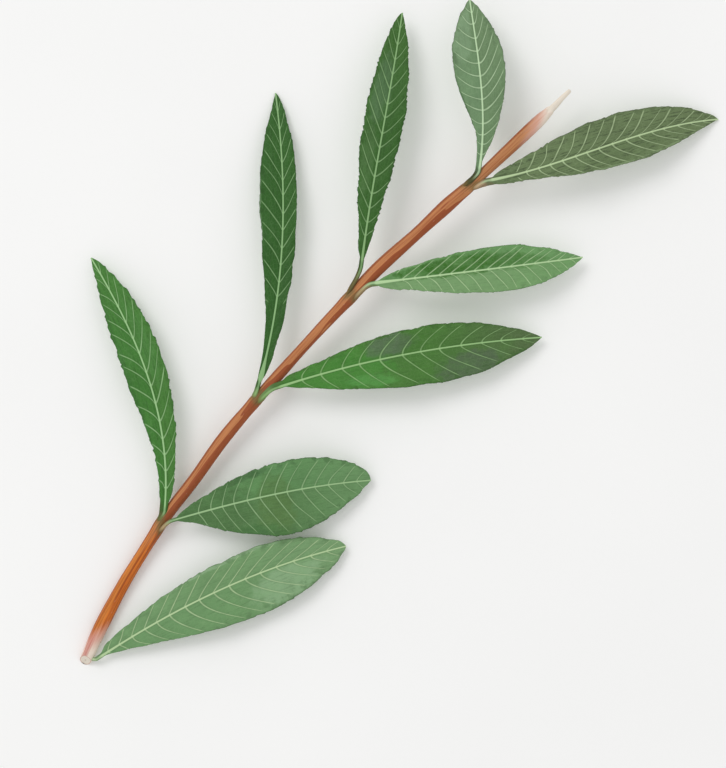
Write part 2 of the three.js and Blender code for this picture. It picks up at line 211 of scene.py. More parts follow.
# Each leaf's other colours: left half, tip, veins, underside and stalk's foot, how strong its lengthwise
# strokes are, and its blotches: colour, place along and across the blade, size along and across, strength.
LEAF_TINTS = {
    "leaf_1_right": (
        "729a67", "7ba170", "b4cd9c", "9db592", "a9bd93", 0.25,
        [("8fb187", 0.76, 0.55, 0.16, 0.5, 0.7), ("9dbb95", 0.55, -0.97, 0.22, 0.12, 0.5)],
    ),
    "leaf_2_left": (
        "3f792f", "447c32", "9cc48b", "8fac84", "66703f", 0.4,
        [("35692d", 0.5, -0.95, 0.4, 0.2, 0.5), ("4f8743", 0.62, 0.4, 0.2, 0.4, 0.4)],
    ),
    "leaf_2_right": (
        "5f8e56", "6d9663", "9bbd8a", "93ad88", "a8906a", 0.25,
        [
            ("56783f", 0.5, 0.3, 0.1, 1.0, 0.7), ("3f7038", 0.4, 0.9, 0.16, 0.25, 0.6),
            ("33592f", 0.33, -0.85, 0.17, 0.17, 0.7), ("4c7240", 0.14, 0.0, 0.24, 1.4, 0.85),
        ],
    ),
    "leaf_3_left": (
        "2f5e22", "326124", "8db47c", "86a37a", "86a568", 0.3,
        [("7d9a75", 0.6, -0.99, 0.12, 0.06, 0.7), ("305628", 0.3, 0.6, 0.2, 0.5, 0.4)],
    ),
    "leaf_3_right": (
        "487932", "566b44", "98bf82", "93ad88", "7fa363", 0.25,
        [
            ("468834", 0.2, 0.1, 0.24, 1.1, 0.8), ("5d6f58", 0.42, -0.5, 0.1, 0.5, 0.75),
            ("55674f", 0.72, 0.75, 0.13, 0.5, 0.75), ("5ca050", 0.33, 0.6, 0.1, 0.25, 0.5),
        ],
    ),
    "leaf_4_left": (
        "3a672a", "3e682a", "88ad76", "8ca981", "675f38", 0.3,
        [("567650", 0.7, -0.4, 0.16, 0.5, 0.7), ("557747", 0.4, -0.5, 0.16, 0.4, 0.5)],
    ),
    "leaf_4_right": (
        "699a5c", "6f9d62", "b3d19e", "96b08a", "a58f68", 0.2,
        [("376e20", 0.36, -0.4, 0.34, 0.5, 1.0), ("467a34", 0.68, -0.3, 0.14, 0.4, 0.7)],
    ),
    "leaf_5_left": (
        "6e8e66", "6b875f", "bad5ab", "a7b9a0", "4b4a27", 0.15,
        [("86a47f", 0.8, -0.6, 0.2, 0.4, 0.6), ("3f6238", 0.32, -0.98, 0.2, 0.13, 0.8)],
    ),
    "leaf_5_right": (
        "677b53", "697c54", "b6cc9d", "99ab8b", "b59a78", 0.8,
        [("8ba377", 0.6, 1.0, 0.4, 0.1, 0.6), ("5b7048", 0.5, 0.5, 0.3, 0.4, 0.4)],
    ),
}
RIB_HALF = 0.34  # half the midrib's painted width away from the stalk
FOOT_BROWN = "86683a"  # a stalk where it meets the bark
TIP_BROWN = "b88355"  # the bark past the last leaves
# The next colour is painted shade along the bark's left edge near the cut.
OLD_EDGE_SHADE = "8f5048"  # the left edge of the bark near the cut
CUT_STREAK = "c4756a"  # streaks in the paling bark beside the cut
CUT_RIM = "c98d78"
PITH = "b08f66"

# Where the bark's colours change along the twig: each starts to show at the first place and is full at
# the second.
# The first three place the painted shade on the twig's right side: where it widens, where the widening ends
# and where it grows fainter.
DARK_WIDER = (140.0, 158.0)
DARK_WIDER_END = (208.0, 192.0)
DARK_FAINTER = (200.0, 222.0)
BROWNER = (196.0, 216.0)
OLD_BARK = (54.0, 38.0)
MARK_START = (16.0, 26.0)
MARK_END = (48.0, 38.0)
LOW_PALE = (14.0, 7.0)
LOW_PALEST = (9.0, 2.0)
HIGH_PALE = (229.0, 239.5)
HIGH_PALEST = (236.5, 243.0)

# The stage: the floor and the lamp in metres, the place over which the camera stands in millimetres,
# and its turn in degrees.
FLOOR_REACH = 3.0
LAMP_SIZE = 1.6
LAMP_PLACE = (-2.0, 0.25, 2.4)
CAMERA_OVER = (30.95, -6.4)
CAMERA_TURN = 40.39


def linear(code):
    """A colour written as six hexadecimal digits, as linear red, green and blue."""
    parts = [int(code[i : i + 2], 16) / 255 for i in (0, 2, 4)]
    return tuple(p / 12.92 if p <= 0.04045 else ((p + 0.055) / 1.055) ** 2.4 for p in parts)


def length(name, text, value, low=0.0, high=1.0):
    """A property for a length in metres, given here in millimetres."""
    return bpy.props.FloatProperty(
        name=name, description=text, default=value * MM, min=low, max=high, subtype="DISTANCE",
        unit="LENGTH", precision=5,
    )


def share(name, text, value):
    """A property for a share from 0 to 1."""
    return bpy.props.FloatProperty(
        name=name, description=text, default=value, min=0.0, max=1.0, subtype="FACTOR"
    )


def colour(name, text, code):
    """A property for a colour, given as six hexadecimal digits."""
    return bpy.props.FloatVectorProperty(
        name=name, description=text, default=linear(code), min=0.0, max=1.0, size=3,
        subtype="COLOR",
    )


class WillowTwigSettings(bpy.types.PropertyGroup):
    """Sizes and colours of the twig."""

    radius: length("Radius", "Half the twig's thickness at its cut end", 1.95)
    ripple: length("Ripple", "Height of the bark's lengthwise ripples", 0.1)
    fray: length("Fray", "How ragged the bark's end is", 1.5)
    # The twig's left side shows the bark's own colour. The darker colour below paints shade on its right
    # side and flanks, as from a lamp at the upper left, and also darkens its real streaks.
    light_bark: colour("Light bark", "Bark on the twig's left side", "bd7a4a")
    streak_and_shade_bark: colour("Dark bark", "Bark on the twig's right side", "9d5029")
    old_bark: colour("Old bark", "Orange bark near the cut end", "cf7a2c")
    # The old bark's streak colour also paints shade on its right half and along its right edge.
    old_streak_and_shade: colour("Old streak", "Darker streaks in the orange bark", "984409")
    pink_bark: colour("Paling bark", "Bark that pales towards both ends", "dfae9d")
    joint: colour("Joint", "Olive bark where a stalk leaves the twig", "77683a")
    wood: colour("Wood", "Bare wood at the cut and at the tip", "efe4d4")


class WillowLeafSettings(bpy.types.PropertyGroup):
    """Sizes that all leaves share, and each leaf's main green, that of its right half."""

    thickness: length("Thickness", "Thickness of the blade beside the midrib", 0.5)
    stalk: length("Stalk radius", "Half the stalk's thickness at the blade", 0.62)
    quilting: length("Quilting", "How far the blade swells between its veins", 0.16)
    vein_height: length("Vein height", "How far a side vein stands out", 0.07)
    vein_width: length("Vein width", "Width of a side vein where it leaves the midrib", 0.35)
    leaf_1_right: colour("Leaf 1 right", "Main green of the leaf beside the cut", "6c9662")
    leaf_2_left: colour("Leaf 2 left", "Main green of this leaf", "457a32")
    leaf_2_right: colour("Leaf 2 right", "Main green of this leaf", "567e4b")
    leaf_3_left: colour("Leaf 3 left", "Main green of this leaf", "316022")
    leaf_3_right: colour("Leaf 3 right", "Main green of this leaf", "497934")
    leaf_4_left: colour("Leaf 4 left", "Main green of this leaf", "335f22")
    leaf_4_right: colour("Leaf 4 right", "Main green of this leaf", "779e69")
    leaf_5_left: colour("Leaf 5 left", "Main green of this leaf", "6a875f")
    leaf_5_right: colour("Leaf 5 right", "Main green of this leaf", "677c53")


class WillowStageSettings(bpy.types.PropertyGroup):
    """The floor, the light and the camera."""

    floor: colour("Floor", "Colour of the floor", "fefefd")
    light: bpy.props.FloatProperty(
        name="Light", description="Power of the large soft lamp", default=26.0, min=0.0,
        subtype="POWER", unit="POWER",
    )
    sky: share("Sky", "Strength of the light from all round", 0.74)
    height: length("Camera height", "Height of the camera over the floor", 1500.0, high=10.0)
    width: length("View width", "Width of floor that the camera sees", 246.84, high=10.0)


def smooth(t):
    """An ease from 0 to 1: three t squared minus two t cubed."""
    c = np.clip(t, 0.0, 1.0)
    return c * c * (3 - 2 * c)


def mix(a, b, t):
    """The value at share t of the way from a to b."""
    return a + (b - a) * t


def unit(v):
    """Vectors brought to length one."""
    return v / np.linalg.norm(v, axis=-1, keepdims=True)


def catmull_rom(points, steps):
    """A smooth line through points: on each span the uniform cubic whose slope at a point is half the
    way from the point before to the point after."""
    p = np.vstack([2 * points[0] - points[1], points, 2 * points[-1] - points[-2]])
    t = np.linspace(0, 1, steps, endpoint=False)[None, :, None]
    a, b, c, d = (p[i : len(p) - 3 + i, None, :] for i in range(4))
    spans = 2 * b + (c - a) * t + (2 * a - 5 * b + 4 * c - d) * t**2 + (3 * b - 3 * c + d - a) * t**3
    return np.vstack([spans.reshape(-1, points.shape[1]) / 2, points[-1]])


TWIG_FINE = catmull_rom(TWIG_LINE, 60)
TWIG_AHEAD = unit(np.gradient(TWIG_FINE[:, :3], axis=0))


def along_twig(y):
    """The point and direction of the twig's centreline y millimetres from the cut end, read off the
    finely divided line; beyond its ends the line goes on straight."""
    inside = np.clip(y, TWIG_FINE[0, 1], TWIG_FINE[-1, 1])
    point = np.stack([np.interp(inside, TWIG_FINE[:, 1], TWIG_FINE[:, k]) for k in range(3)], -1)
    ahead = np.stack([np.interp(inside, TWIG_FINE[:, 1], TWIG_AHEAD[:, k]) for k in range(3)], -1)
    ahead = unit(ahead)
    return point + ahead * (y - inside)[..., None], ahead


def section(ahead, roll=0.0):
    """The level direction to the right of a line and the direction up from it, turned by roll."""
    right = unit(np.cross(ahead, UP))
    up = np.cross(right, ahead)
    return right * np.cos(roll) + up * np.sin(roll), up * np.cos(roll) - right * np.sin(roll)


def wander(x, rng, count, shortest, longest):
    """A gentle random line between about -1 and 1: a sum of sines whose lengths and starts are drawn."""
    lengths = rng.uniform(shortest, longest, count)
    starts = rng.uniform(0, 2 * math.pi, count)
    waves = np.sin(2 * math.pi * x[..., None] / lengths + starts)
    return waves.sum(-1) / math.sqrt(count)


def make_piece(name, rings, attributes, material, node):
    """Makes a smooth-shaded object that stands for a CAD node, from rings of points in millimetres that
    run clockwise seen from behind. Each ring is joined to the next, and the first and last are closed."""
    rows, count = rings.shape[:2]
    i, k = np.meshgrid(np.arange(rows - 1), np.arange(count), indexing="ij")
    here = i * count + k
    after = i * count + (k + 1) % count
    faces = np.stack([here, after, after + count, here + count], -1).reshape(-1, 4).tolist()
    faces.append(list(range(count))[::-1])
    faces.append(list(range((rows - 1) * count, rows * count)))
    mesh = bpy.data.meshes.new(name)
    mesh.from_pydata(((rings.reshape(-1, 3) + CUT_END) * MM).tolist(), [], faces)
    for key, values in attributes.items():
        layer = mesh.attributes.new(key, "FLOAT_VECTOR", "POINT")
        together = np.stack([np.broadcast_to(v, (rows, count)) for v in values], -1)
        layer.data.foreach_set("vector", np.ascontiguousarray(together, dtype=np.float32).ravel())
    mesh.shade_smooth()
    mesh.materials.append(material)
    piece = bpy.data.objects.new(name, mesh)
    bpy.context.scene.collection.objects.link(piece)
    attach(piece, "root")
    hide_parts(node)


class Value:
    """A shader socket in an expression: each operator adds the Math node that works it out."""

    def __init__(self, shade, socket):
        self.shade = shade
        self.socket = socket

    def __add__(self, other):
        return self.shade.math("ADD", self, other)

    def __sub__(self, other):
        return self.shade.math("SUBTRACT", self, other)

    def __rsub__(self, other):
        return self.shade.math("SUBTRACT", other, self)

    def __mul__(self, other):
        return self.shade.math("MULTIPLY", self, other)

    def __truediv__(self, other):
        return self.shade.math("DIVIDE", self, other)

    def __pow__(self, other):
        return self.shade.math("POWER", self, other)

    __radd__ = __add__

    def __abs__(self):
        return self.shade.math("ABSOLUTE", self)

    def over(self, other):
        """The greater of two values."""
        return self.shade.math("MAXIMUM", self, other)

    def fract(self):
        return self.shade.math("FRACT", self)

    def step(self, low, high):
        """0 below low, 1 above high and eased between. With low above high it falls from 1 to 0."""
        settings = {"interpolation_type": "SMOOTHSTEP"}
        return self.shade.node("ShaderNodeMapRange", settings, {0: self, 1: low, 2: high})


class Shade:
    """A material and the nodes added to it."""

    def __init__(self, name):
        self.material = bpy.data.materials.new(name)
        self.material.use_nodes = True
        self.tree = self.material.node_tree
        self.tree.nodes.clear()

    def node(self, kind, settings=None, values=None, output=0):
        """Adds a node: its settings first, then a value or a link for each socket named or numbered."""
        node = self.tree.nodes.new(kind)
        for key, value in (settings or {}).items():
            setattr(node, key, value)
        for key, value in (values or {}).items():
            if isinstance(value, Value):
                self.tree.links.new(value.socket, node.inputs[key])
            else:
                node.inputs[key].default_value = value
        return Value(self, node.outputs[output])

    def math(self, operation, a, b=0.0):
        return self.node("ShaderNodeMath", {"operation": operation}, {0: a, 1: b})

    def attribute(self, name):
        """The three values of one of the piece's own attributes."""
        vector = self.node("ShaderNodeAttribute", {"attribute_name": name}, output="Vector")
        split = self.node("ShaderNodeSeparateXYZ", values={0: vector})
        return [Value(self, socket) for socket in split.socket.node.outputs]

    def vector(self, x, y, z):
        return self.node("ShaderNodeCombineXYZ", values={0: x, 1: y, 2: z})

    def noise(self, place, scale, detail, roughness=0.55):
        """Cloudy noise about 0.5 at a place."""
        values = {"Vector": place, "Scale": scale, "Detail": detail, "Roughness": roughness}
        return self.node("ShaderNodeTexNoise", values=values, output="Fac")

    def blend(self, amount, a, b):
        """Two colours mixed: amount 0 gives a, 1 gives b."""
        a, b = ((*c, 1.0) if isinstance(c, tuple) else c for c in (a, b))
        return self.node("ShaderNodeMix", {"data_type": "RGBA"}, {0: amount, 6: a, 7: b}, output=2)

    def paint(self, base, *strokes):
        """Strokes laid over a base colour one after another, each an amount and a colour."""
        for amount, tint in strokes:
            base = self.blend(amount, base, tint)
        return base

    def bump(self, height, distance, strength):
        values = {"Height": height, "Distance": distance, "Strength": strength}
        return self.node("ShaderNodeBump", values=values)

    def finish(self, base, roughness, normal, gloss):
        """The surface: a Principled shader with the given colour, roughness, normal and gloss."""
        values = {
            "Base Color": base, "Roughness": roughness, "Normal": normal, "Specular IOR Level": gloss,
        }
        surface = self.node("ShaderNodeBsdfPrincipled", values=values)
        output = self.tree.nodes.new("ShaderNodeOutputMaterial")
        self.tree.links.new(surface.socket, output.inputs["Surface"])
        return self.material


def scaled(tint, factor):
    """A colour made brighter or darker."""
    return tuple(min(1.0, c * factor) for c in tint)


class LeafShade(Shade):
    """A leaf's material, with what its parts share: where a point lies on the leaf, noises and tints."""

    def __init__(self, name, settings):
        super().__init__("willow_" + name)
        self.leaf = LEAVES[name]
        self.size = math.dist(self.leaf["base"], self.leaf["tip"])
        self.half_vein = settings.vein_width / MM / 2
        self.right = tuple(getattr(settings, name))
        self.left, self.tip, self.vein, self.under, self.foot = map(linear, LEAF_TINTS[name][:5])
        self.stroked, self.blotches = LEAF_TINTS[name][5:]
        self.middle = tuple(mix(np.array(self.left), np.array(self.right), 0.5))
        self.phase, self.across, self.face = self.attribute("vein")
        self.along, self.side, self.stalk = self.attribute("place")
        self.progress = self.along / self.size
        self.reach = abs(self.across)
        self.rightness = self.side.step(-0.1, 0.1)
        self.flat = self.vector(self.along, self.side, 0.0)
        self.patches = self.noise(self.flat, 0.11, 2.0)
        self.edge = self.noise(self.flat, 0.3, 3.0, 0.6)
        self.strokes = self.noise(self.vector(self.along * 0.09, self.side, 3.0), 2.2, 3.0, 0.6)
        self.grain = self.noise(self.flat, 2.6, 3.0, 0.65)

    def greens(self):
        """The top's green: each half's own, then the tip's, ragged blotches, soft patches, lengthwise
        strokes and grain."""
        base = self.paint(
            self.blend(self.rightness, self.left, self.right),
            (self.progress.step(0.5, 1.0) * 0.9, self.tip),
        )
        for code, place, out, long, wide, amount in self.blotches:
            u = (self.progress - place) / long
            v = (self.across - out) / wide
            far = u * u + v * v + (self.edge - 0.5) * 2.2
            base = self.blend(far.step(1.35, 0.35) * amount, base, linear(code))
        return self.paint(
            base,
            (self.patches.step(0.5, 0.7) * 0.22, scaled(self.middle, 1.3)),
            (self.patches.step(0.5, 0.3) * 0.22, scaled(self.middle, 0.72)),
            (self.strokes.step(0.55, 0.63) * self.stroked, scaled(self.middle, 0.45)),
            (self.strokes.step(0.45, 0.36) * self.stroked * 0.45, scaled(self.middle, 1.35)),
            (self.grain.step(0.5, 0.8) * 0.22, scaled(self.middle, 0.7)),
        )

    def off_vein(self):
        """The distance to the nearest side vein: how far the phase is from a whole number, as a length
        along the midrib, times the sine of the mean angle between that half's veins and the midrib."""
        near = abs((self.phase + 0.5).fract() - 0.5) * (self.size / self.leaf["veins"])
        slants = (sum(self.leaf[half][:2]) / 2 for half in ("left_vein", "right_vein"))
        leans = [1 / math.hypot(1.0, slant) for slant in slants]
        return near * (leans[0] + self.rightness * (leans[1] - leans[0]))

    def side_veins(self, off):
        """Lines at the side veins from the first one on, finer outwards, ending before the margin and
        broken by noise."""
        width = self.half_vein - self.reach * self.half_vein * 0.4
        first = self.leaf["first"]
        line = (off / width).step(1.35, 0.55)
        line = line * self.reach.step(0.97, 0.84) * self.progress.step(first, first + 0.01)
        return line * (0.3 + self.noise(self.flat, 0.35, 2.0) * 1.1)

    def fine_net(self):
        """The net of the finest veins: the edges of cells that are a little longer along the leaf."""
        cells = self.node(
            "ShaderNodeTexVoronoi", {"feature": "DISTANCE_TO_EDGE"},
            {"Vector": self.vector(self.along * 0.8, self.side, 0.0), "Scale": 0.9}, output="Distance",
        )
        return cells.step(0.08, 0.02)

    def stem(self):
        """The stalk: streaked, in its own tint towards the twig, with painted shade on its sides and a pale
        line down its middle, and brown where it meets the bark."""
        aside = abs(self.side)
        footwards = self.phase.step(0.0, -0.3)
        pale = self.blend(self.phase.step(-0.15, -0.5), self.vein, scaled(self.foot, 1.35))
        return self.paint(
            scaled(self.middle, 0.85),
            (self.strokes.step(0.5, 0.62) * 0.4, scaled(self.middle, 0.55)),
            (footwards * 0.9, self.foot),
            (footwards * self.strokes.step(0.47, 0.58) * 0.6, scaled(self.foot, 0.4)),
            # Painted shade darkens the stalk's round flanks.
            (aside.step(0.45, 0.75) * 0.45, scaled(self.foot, 0.45)),
            (aside.step(0.5, 0.15) * self.phase.step(-0.85, -0.5) * 0.7, pale),
            ((self.phase + (self.strokes - 0.5) * 0.9).step(-0.5, -0.86) * 0.78, linear(FOOT_BROWN)),
        )


def leaf_material(name, settings):
    """A leaf's skin: greens above and a paler underside, and over both the fine net, the side veins and the
    midrib. Above, painted shade darkens the green beside the veins and in patches towards the margin, where
    the blade is also edged by a dark line. The stalk is its own."""
    shade = LeafShade(name, settings)
    vein, middle = shade.vein, shade.middle
    off = shade.off_vein()
    line = shade.side_veins(off)
    net = shade.fine_net()
    half_rib = RIB_HALF - (shade.progress.over(0.0) ** 0.5) * 0.1
    half_rib = half_rib + shade.along.step(10.0, 0.0) * (shade.leaf["rib"] - RIB_HALF)
    off_rib = abs(shade.side) / half_rib
    rib = off_rib.step(1.2, 0.75)
    # Painted shade beside the midrib and side veins, as if cast by their ridges.
    vein_shadow_mask = (off / shade.half_vein).step(3.6, 1.6) * shade.reach.step(0.9, 0.6)
    beside = off_rib.step(3.0, 1.5).over(vein_shadow_mask)
    margin = shade.reach.step(0.95, 1.0)
    # Painted shade in ragged patches inside the margin, as under a curled edge.
    margin_shade_patches = shade.reach.step(0.7, 0.92) * shade.edge.step(0.5, 0.6)
    top = shade.paint(
        shade.greens(),
        (net * 0.07, vein),
        (beside * 0.2, scaled(middle, 0.55)),
        (margin_shade_patches * 0.5, scaled(middle, 0.6)),
        (margin * 0.6, scaled(middle, 0.5)),
        (line * 0.76, vein),
        (rib * 0.9, scaled(vein, 1.15)),
    )
    low = shade.paint(
        shade.under,
        (shade.patches.step(0.35, 0.65) * 0.3, scaled(middle, 1.4)),
        (net * 0.25, scaled(shade.under, 0.8)),
        (line * 0.6, vein),
        (rib * 0.7, vein),
    )
    underneath = shade.face.step(0.2, -0.2)
    colours = shade.blend(shade.stalk, shade.blend(underneath, top, low), shade.stem())

    height = shade.grain * 0.5 + shade.strokes * 0.5 + net * -0.3 + rib * 0.2
    normal = shade.bump(height, 0.00012, 0.7)
    roughness = 0.5 + shade.grain * 0.16 + underneath * 0.12 - line * 0.05
    return shade.finish(colours, roughness, normal, 0.22)


class BarkShade(Shade):
    """The twig's material, with what its parts share: where a point lies on the twig, noises and tints."""

    def __init__(self, settings):
        super().__init__("willow_bark")
        self.light, self.dark, self.old, self.streak, self.pink, self.olive, self.wood = (
            tuple(getattr(settings, key))
            for key in ("light_bark", "streak_and_shade_bark", "old_bark", "old_streak_and_shade", "pink_bark", "joint", "wood")
        )
        self.along, self.bare, self.joint = self.attribute("bark")
        self.side, self.rise, self.cut = self.attribute("round")
        self.wandering = self.lengthwise(0.03, 0.6, 2.0) - 0.5
        self.streaks = self.lengthwise(0.045, 4.5)
        self.fine = self.lengthwise(0.16, 11.0)

    def lengthwise(self, along_scale, round_scale, detail=4.0):
        """Noise drawn out along the twig, which goes on round it without a seam."""
        place = self.vector(self.along * along_scale, self.side * round_scale, self.rise * round_scale)
        return self.noise(place, 1.0, detail, 0.6)

    def young_bark(self):
        """Light on the left and painted shade on the right, with a wandering edge between them, streaked,
        and browner past the last leaves, where the painted shade fades. Painted shade also darkens both
        flanks."""
        along, side, streaks = self.along, self.side, self.streaks
        # Painted shade: the right side is darkened as if turned from the lamp, widening and fading along
        # the twig.
        wider = along.step(*DARK_WIDER) * along.step(*DARK_WIDER_END) * 0.35
        shaded = (side + self.wandering * 4.2 + wider).step(0.14, 0.22)
        return self.paint(
            self.light,
            (along.step(*BROWNER) * 0.6, linear(TIP_BROWN)),
            (streaks.step(0.52, 0.59) * 0.5, self.dark),
            (streaks.step(0.46, 0.38) * 0.4, scaled(self.light, 1.3)),
            (shaded * (1.0 - along.step(*DARK_FAINTER) * 0.75), self.dark),
            ((streaks - side * 0.2).step(0.36, 0.46) * shaded * 0.4, scaled(self.dark, 0.8)),
            # Painted shade along both flanks of the twig, stronger on the left.
            (side.step(-0.62, -0.82) * 0.85, scaled(self.dark, 0.85)),
            (side.step(0.86, 0.97) * 0.4, scaled(self.dark, 0.7)),
        )

    def old_bark(self):
        """Orange, with painted shade on its right half, streaked, with a long dark mark down its middle,
        and edges dulled by painted shade.
        """
        along, side, streaks = self.along, self.side, self.streaks
        mark = abs(side + 0.02 + self.wandering * 0.5).step(0.2, 0.1)
        mark = mark * along.step(*MARK_START) * along.step(*MARK_END)
        return self.paint(
            self.old,
            # Painted shade on the right half.
            (side.step(-0.15, 0.1) * 0.55, scaled(self.streak, 1.8)),
            (streaks.step(0.5, 0.58) * 0.6, self.streak),
            (streaks.step(0.44, 0.36) * 0.4, scaled(self.old, 1.35)),
            (mark * 0.85, self.streak),
            # Painted shade along both flanks.
            (side.step(-0.8, -0.92) * 0.7, linear(OLD_EDGE_SHADE)),
            (side.step(0.84, 0.95) * 0.6, scaled(self.streak, 0.8)),
        )

    def pores(self):
        """Small pores in cells that are longer along the twig."""
        place = self.vector(self.along * 0.22, self.side * 1.5, self.rise * 1.5)
        cells = self.node("ShaderNodeTexVoronoi", values={"Vector": place, "Scale": 1.3}, output="Distance")
        return cells.step(0.13, 0.07)

    def bare_wood(self):
        """Pale wood with faint streaks, and on the cut the pith and a thin rim of bark."""
        off_middle = (self.side * self.side + self.rise * self.rise) ** 0.5
        return self.paint(
            self.wood,
            (self.lengthwise(0.25, 6.0).step(0.4, 0.7) * 0.4, scaled(self.wood, 0.75)),
            (off_middle.step(0.16, 0.07) * self.cut * 0.5, linear(PITH)),
            (off_middle.step(0.8, 0.92) * self.cut * 0.7, linear(CUT_RIM)),
        )


def bark_material(settings):
    """The twig's skin: old bark near the cut, young bark from there on, olive at each stalk, and paling
    towards both ends, the right side first. The cut and the wood past the bark's end are bare."""
    shade = BarkShade(settings)
    along, side, streaks, fine = shade.along, shade.side, shade.streaks, shade.fine
    pore = shade.pores()
    ragged = (streaks - 0.5) * 10.0 + (fine - 0.5) * 6.0
    low = (along - side * 3.0 + ragged).step(*LOW_PALE)
    high = (along + side * 4.0 + ragged).step(*HIGH_PALE)
    lowest_stretch = (along - side * 2.0 + ragged).step(*LOW_PALEST)
    highest_stretch = (along + side * 3.0 + ragged * 0.6).step(*HIGH_PALEST)
    oldness = (along + (streaks - 0.5) * 30.0).step(*OLD_BARK)
    base = shade.paint(
        shade.blend(oldness, shade.young_bark(), shade.old_bark()),
        (fine.step(0.56, 0.72) * 0.3, scaled(shade.dark, 0.7)),
        (fine.step(0.44, 0.3) * 0.25, scaled(shade.light, 1.25)),
        ((shade.joint + (fine - 0.5) * 1.2).step(0.35, 0.95) * 0.75, shade.olive),
        (shade.joint * streaks.step(0.48, 0.58) * 0.6, scaled(shade.olive, 0.5)),
        (pore * 0.25, shade.pink),
        (low.over(high) * 0.9, shade.pink),
        (lowest_stretch.over(highest_stretch) * 0.85, shade.wood),
        (low * streaks.step(0.42, 0.52) * side.step(0.3, -0.3) * 0.85, linear(CUT_STREAK)),
        (shade.bare, shade.bare_wood()),
    )
    height = streaks * 0.7 + fine * 0.4 + pore * 0.4 + shade.lengthwise(0.9, 8.0) * 0.2
    normal = shade.bump(height, 0.0002, 0.9)
    roughness = 0.46 + streaks * 0.2 + shade.bare * 0.12
    return shade.finish(base, roughness, normal, 0.3)


def floor_material(tint):
    """A plain matt floor with the faintest mottling."""
    shade = Shade("pale_floor")
    place = shade.node("ShaderNodeTexCoord", output="Object")
    cloud = shade.noise(place, 9.0, 2.0)
    base = shade.blend(cloud.step(0.3, 0.7), tuple(tint), tuple(c * 0.985 for c in tint))
    normal = shade.bump(shade.noise(place, 600.0, 2.0), 0.0001, 0.1)
    return shade.finish(base, 0.85 + cloud * 0.05, normal, gloss=0.2)


def stalk_angle(name):
    """The angle round the twig, from its right side over its top, at which a stalk leaves it."""
    clock = math.radians(LEAVES[name]["clock"])
    return math.pi - clock if name.endswith("left") else clock


def stalk_nearness(y, angle, before, spread, power):
    """How near a place on the bark is to a stalk's foot: a bell curve along the twig, times a power of
    the cosine of the angle between them round it, summed over the leaves."""
    total = 0.0
    for name, leaf in LEAVES.items():
        facing = np.maximum(0, np.cos(angle - stalk_angle(name)))
        total = total + np.exp(-(((y - leaf["node"] - before) / spread) ** 2)) * facing**power
    return total


def bark_radius(settings, y, angle, rng):
    """The bark's radius: it thins evenly and wanders, a sum of sines, is less over its last stretch,
    swells sideways where the table says and at each stalk, and ripples with the angle as a sum of sines.
    Gives the fray of the bark's end too: how much further it reaches at each angle, by sines."""
    turns = rng.uniform(0, 2 * math.pi, 8)
    radius = settings.radius / MM - TWIG_THINNING * y / BARK_END
    radius = radius + BARK_WANDER * wander(y, rng, 5, 10.0, 40.0)
    radius = radius * (1 - END_TAPER * smooth((y - BARK_END + END_STRETCH) / END_STRETCH))
    swell = np.interp(y, TWIG_FINE[:, 1], TWIG_FINE[:, 3])
    radius = radius + swell * (SWELL_HEIGHT + (1 - SWELL_HEIGHT) * np.cos(angle) ** 2)
    spread = CUSHION_LENGTH / math.sqrt(2)
    radius = radius + CUSHION_HEIGHT * stalk_nearness(y, angle, before=0.0, spread=spread, power=2)
    ripple = sum(
        np.sin(k * angle + turns[k] + 0.9 * np.sin(y / (13.0 + 5 * k) + k)) / k for k in (2, 3, 5)
    )
    fray = 0.4 * np.sin(2 * angle + turns[0]) + 0.25 * np.sin(5 * angle + turns[1])
    return radius + settings.ripple / MM * ripple, settings.fray / MM * fray


def build_twig(settings):
    """The twig is a tube on its centreline, whose radius drops from the bark's to the wood's past the
    bark's frayed end. The wood thins evenly and is a little uneven, by sines of the angle. The first
    stations lean with the slanting cut, both ends close in shrinking rings, and nothing goes below the
    floor."""
    rng = np.random.default_rng(TWIG_SEED)
    start, end = TWIG_LINE[0, 1] + CUT_INSET, TWIG_LINE[-1, 1]
    finer = BARK_END - FINE_STRETCH
    y = np.concatenate([np.linspace(start, finer, BARK_ROWS), np.linspace(finer + 0.1, end, WOOD_ROWS)])
    closing = len(CLOSING)
    stations = np.concatenate([np.full(closing, start), y, np.full(closing, end)])[:, None]
    shrink = np.concatenate([CLOSING, np.ones(len(y)), CLOSING[::-1]])[:, None]
    angle = math.pi / 2 - np.arange(TWIG_SIDES)[None, :] * 2 * math.pi / TWIG_SIDES

    bark, fray = bark_radius(settings, stations, angle, rng)
    wood = mix(*WOOD_RADII, np.clip((stations - BARK_END) / (end - BARK_END), 0, 1))
    wood = wood * (1 + 0.05 * np.sin(3 * angle + stations) + 0.04 * np.sin(5 * angle + 0.6 * stations))
    bare = smooth((stations - BARK_END + 0.5 - fray) / 0.8)
    full = mix(bark, wood, bare)

    point, ahead = (v[:, None] for v in along_twig(stations[:, 0]))
    right, up = section(ahead)
    lean = CUT_SLANT * np.clip(1 - (stations - start) / SLANT_REACH, 0, 1)
    rounding = np.zeros_like(stations)
    rounding[-closing:, 0] = WOOD_ROUNDING * (1 - CLOSING[::-1] ** 2)
    radius = full * shrink
    side, rise = radius * np.cos(angle), radius * np.sin(angle)
    forward = lean * (rise + full) + rounding
    rings = point + ahead * forward[..., None] + right * side[..., None] + up * rise[..., None]
    rings[..., 2] = np.maximum(rings[..., 2], 0.0)
    cut = (np.arange(len(stations)) < closing)[:, None] * 1.0
    joint = stalk_nearness(stations, angle, before=2.2, spread=3.4, power=2.6)
    attributes = {
        "bark": (stations + forward, np.maximum(bare, (shrink < 1) * 1.0), np.clip(joint, 0, 1)),
        "round": (side / full, rise / full, cut),
    }
    make_piece("willow_twig", rings, attributes, bark_material(settings), "twig")


